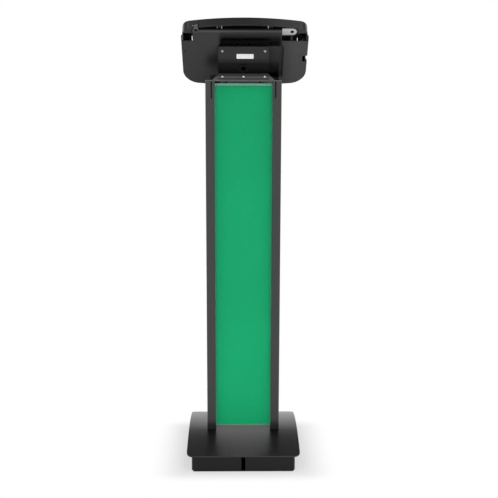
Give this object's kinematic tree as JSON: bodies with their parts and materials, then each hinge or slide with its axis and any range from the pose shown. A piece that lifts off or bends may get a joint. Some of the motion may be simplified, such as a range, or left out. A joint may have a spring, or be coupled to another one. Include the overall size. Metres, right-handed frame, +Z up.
{
  "type": "tablet security kiosk stand",
  "caption": "Floor stand with arched weighted base, slim column with graphic panels and a tilted lockable tablet enclosure.",
  "frame": {"origin": "centre of the base on the floor", "axes": "+Z up; -Y towards the user, where the screen faces; +Y the rear with the lock and the cable notch; X across"},
  "size_m": [0.3026, 0.3, 1.0978],
  "materials": {
    "black_steel": "satin powder coat",
    "black_aluminium": "black satin powder coat",
    "raw_steel": "plain primed steel",
    "green_board": "printed matt board",
    "clear_sheet": "clear with polished edges",
    "bright_steel": "bright plated",
    "zinc_bar": "zinc plated",
    "black_rubber": "moulded",
    "black_foam": "closed-cell foam"
  },
  "bodies": {
    "stand": {"base_plate": "black_steel", "plinth": "black_steel", "ballast_plate": "raw_steel", "arch_ribs": "raw_steel", "base_feet": "black_rubber", "column_bolts": "bright_steel", "upright_left": "black_aluminium", "upright_right": "black_aluminium", "bottom_rail": "black_steel", "spreader_1": "black_aluminium", "spreader_2": "black_aluminium", "top_spreader": "black_aluminium", "rear_panel": "green_board", "rear_clear_cover": "clear_sheet", "front_panel": "green_board", "front_clear_cover": "clear_sheet", "top_plate": "black_steel", "top_plate_screws": "bright_steel", "column_cap": "black_steel", "cap_nut_bar": "raw_steel", "cap_screws": "bright_steel", "neck_bracket": "black_steel", "neck_cheeks": "black_steel", "neck_cover": "black_steel", "neck_screws": "bright_steel", "cable_grommet": "black_rubber", "neck_bolts": "black_steel", "neck_nuts": "black_steel", "mount_plate": "black_steel", "mount_screws": "bright_steel", "back_cover": "black_steel", "anchor_boss": "black_steel", "lock_guides": "black_steel", "tablet_tray": "black_steel", "tray_standoffs": "bright_steel", "tray_screws": "bright_steel", "tablet_pads": "black_foam", "hinge_fixed_leaves": "black_steel", "hinge_pins": "bright_steel"},
    "screen_frame": {"front_frame": "black_steel", "hinge_moving_leaves": "black_steel", "frame_catches": "black_steel", "bezel_gasket": "black_foam"},
    "lock_bar": {"lock_bar": "zinc_bar"}
  },
  "joints": [
    {"name": "frame_hinge", "type": "hinge", "parent": "stand", "child": "screen_frame", "pos_m": [0, -0.0696, 0.94132], "axis": [1, 0, 0], "range_deg": [0, 110]},
    {"name": "lock_slide", "type": "slide", "parent": "stand", "child": "lock_bar", "axis": [1, 0, 0], "range_m": [0, 0.012]}
  ]
}
